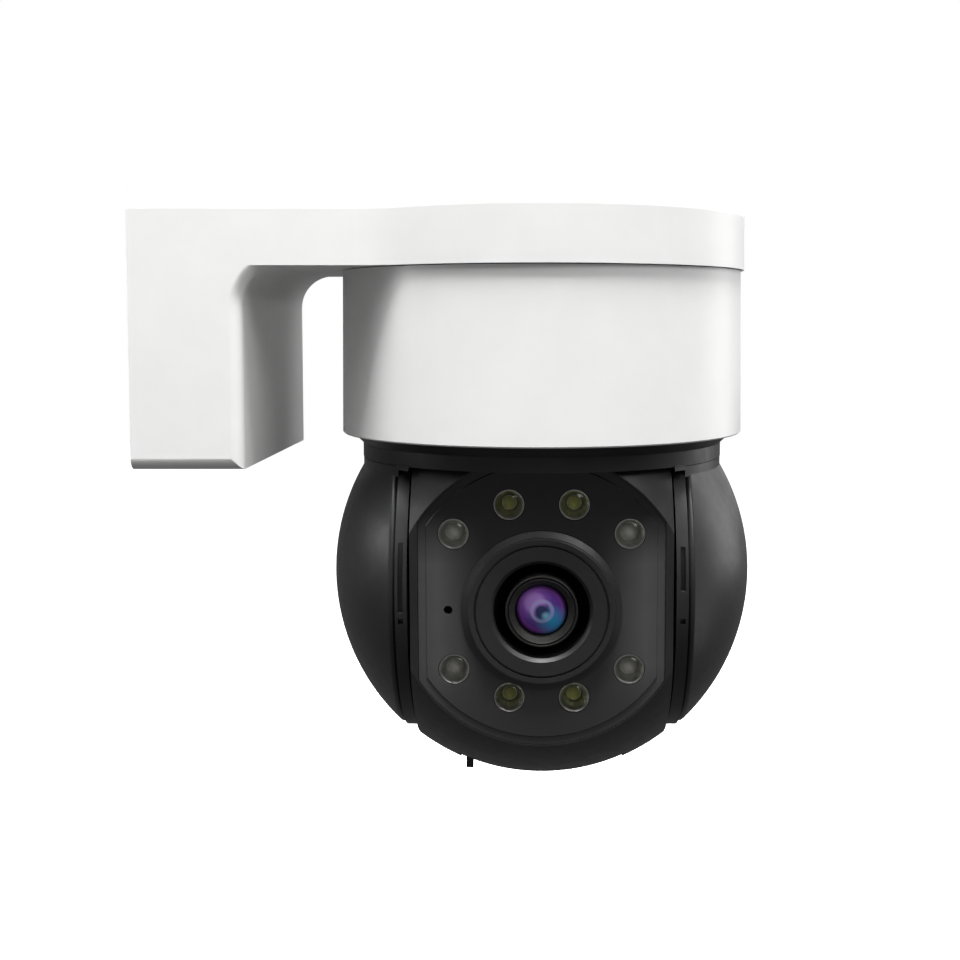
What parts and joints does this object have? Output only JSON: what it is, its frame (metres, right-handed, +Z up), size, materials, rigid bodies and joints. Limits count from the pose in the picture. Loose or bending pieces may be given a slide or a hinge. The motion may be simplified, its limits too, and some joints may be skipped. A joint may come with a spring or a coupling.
{
  "type": "pan-tilt security camera",
  "caption": "Wall-mounted pan-tilt camera: white bracket arm and round base carry a black ball head with a lens, lamp domes and a card door underneath.",
  "frame": {"origin": "centre of the flat back of the bracket leg, on the wall", "axes": "+X away from the wall, +Z up, the lens looks along -Y at rest"},
  "size_m": [0.1389, 0.0979, 0.1382],
  "materials": {
    "white_plastic": "smooth semi-gloss white moulded plastic",
    "black_plastic": "fine satin black moulded plastic",
    "smoked_window": "polished smoked acrylic",
    "collar_plastic": "satin black plastic with polished edges",
    "lens_metal": "black anodised turned aluminium",
    "coated_glass": "multi-coated optical glass, violet and cyan",
    "clear_dome": "clear moulded lens",
    "white_led": "yellow-green phosphor",
    "night_led": "grey silicone over a bright die",
    "rubber": "black soft rubber",
    "door_rubber": "satin black elastomer skin",
    "zinc_steel": "zinc plated steel",
    "motor_can": "drawn steel can",
    "chassis_plastic": "grey glass-filled plastic",
    "bush_metal": "sintered bronze",
    "gear_nylon": "natural acetal",
    "circuit_board": "green solder mask",
    "lamp_board": "black solder mask",
    "components": "black moulded chip packages",
    "socket_metal": "stamped steel"
  },
  "bodies": {
    "base": {"bracket_shell": "white_plastic", "wall_plate": "zinc_steel", "wall_gasket": "rubber", "cable_grommet": "rubber", "lock_screws": "zinc_steel", "base_housing": "white_plastic", "seam_seal": "rubber", "housing_screws": "zinc_steel", "pan_chassis": "chassis_plastic", "pan_bush": "bush_metal", "pan_motor": "motor_can", "pan_motor_screws": "zinc_steel", "main_board": "circuit_board", "board_parts": "components", "board_screws": "zinc_steel", "radio_antenna": "circuit_board"},
    "pan_yoke": {"yoke_frame": "black_plastic", "left_ear_cover": "black_plastic", "right_ear_cover": "black_plastic", "ear_screws": "zinc_steel", "left_tilt_bush": "bush_metal", "right_tilt_bush": "bush_metal", "tilt_motor": "motor_can", "tilt_motor_screws": "zinc_steel", "pan_gear": "gear_nylon", "pan_circlip": "zinc_steel"},
    "tilt_head": {"tilt_gear": "gear_nylon", "tilt_shaft": "zinc_steel", "tilt_pivot": "chassis_plastic", "head_front_shell": "black_plastic", "head_rear_shell": "black_plastic", "head_seal": "rubber", "head_frame": "black_plastic", "head_screws": "zinc_steel", "front_window": "smoked_window", "lens_collar": "collar_plastic", "lens_hood": "black_plastic", "lens_barrel": "lens_metal", "lens_ring": "lens_metal", "front_lens": "coated_glass", "middle_lens": "coated_glass", "rear_lens": "coated_glass", "lens_holder": "black_plastic", "sensor_board": "circuit_board", "image_sensor": "components", "led_board": "lamp_board", "led_board_screws": "zinc_steel", "white_led_chips": "white_led", "night_led_chips": "night_led", "led_lenses": "clear_dome", "microphone": "components", "speaker": "components", "io_board": "circuit_board", "card_socket": "socket_metal", "door_pin": "zinc_steel"},
    "pan_pinion_body": {"pan_pinion": "gear_nylon"},
    "tilt_pinion_body": {"tilt_pinion": "gear_nylon"},
    "filter_body": {"filter_shuttle": "components"},
    "button_body": {"reset_button": "components"},
    "door_body": {"card_door": "door_rubber"}
  },
  "joints": [
    {"name": "pan", "type": "hinge", "parent": "base", "child": "pan_yoke", "pos_m": [0.0889, 0, 0], "axis": [0, 0, 1], "range_deg": [-87.5, 267.5]},
    {"name": "tilt", "type": "hinge", "parent": "pan_yoke", "child": "tilt_head", "pos_m": [0.0889, 0, -0.0582], "axis": [1, 0, 0], "range_deg": [-7, 88]},
    {"name": "pan_pinion_spin", "type": "hinge", "parent": "base", "child": "pan_pinion_body", "pos_m": [0.0889, 0.0289, 0], "axis": [0, 0, 1], "range_deg": [-1338, 438]},
    {"name": "tilt_pinion_spin", "type": "hinge", "parent": "pan_yoke", "child": "tilt_pinion_body", "pos_m": [0.1317, 0, -0.07378], "axis": [1, 0, 0], "range_deg": [-458, 37]},
    {"name": "filter_slide", "type": "slide", "parent": "tilt_head", "child": "filter_body", "axis": [1, 0, 0], "range_m": [0, 0.004]},
    {"name": "reset_press", "type": "slide", "parent": "tilt_head", "child": "button_body", "axis": [0, -0.0332, 0.9995], "range_m": [0, 0.0008], "stiffness_N_per_m": 300},
    {"name": "card_door_hinge", "type": "hinge", "parent": "tilt_head", "child": "door_body", "pos_m": [0.0889, 0.01369, -0.10441], "axis": [1, 0, 0], "range_deg": [0, 95]}
  ],
  "couplings": [
    {"joint": "pan_pinion_spin", "follows": "pan", "ratio": -5},
    {"joint": "tilt_pinion_spin", "follows": "tilt", "ratio": -5.2}
  ]
}
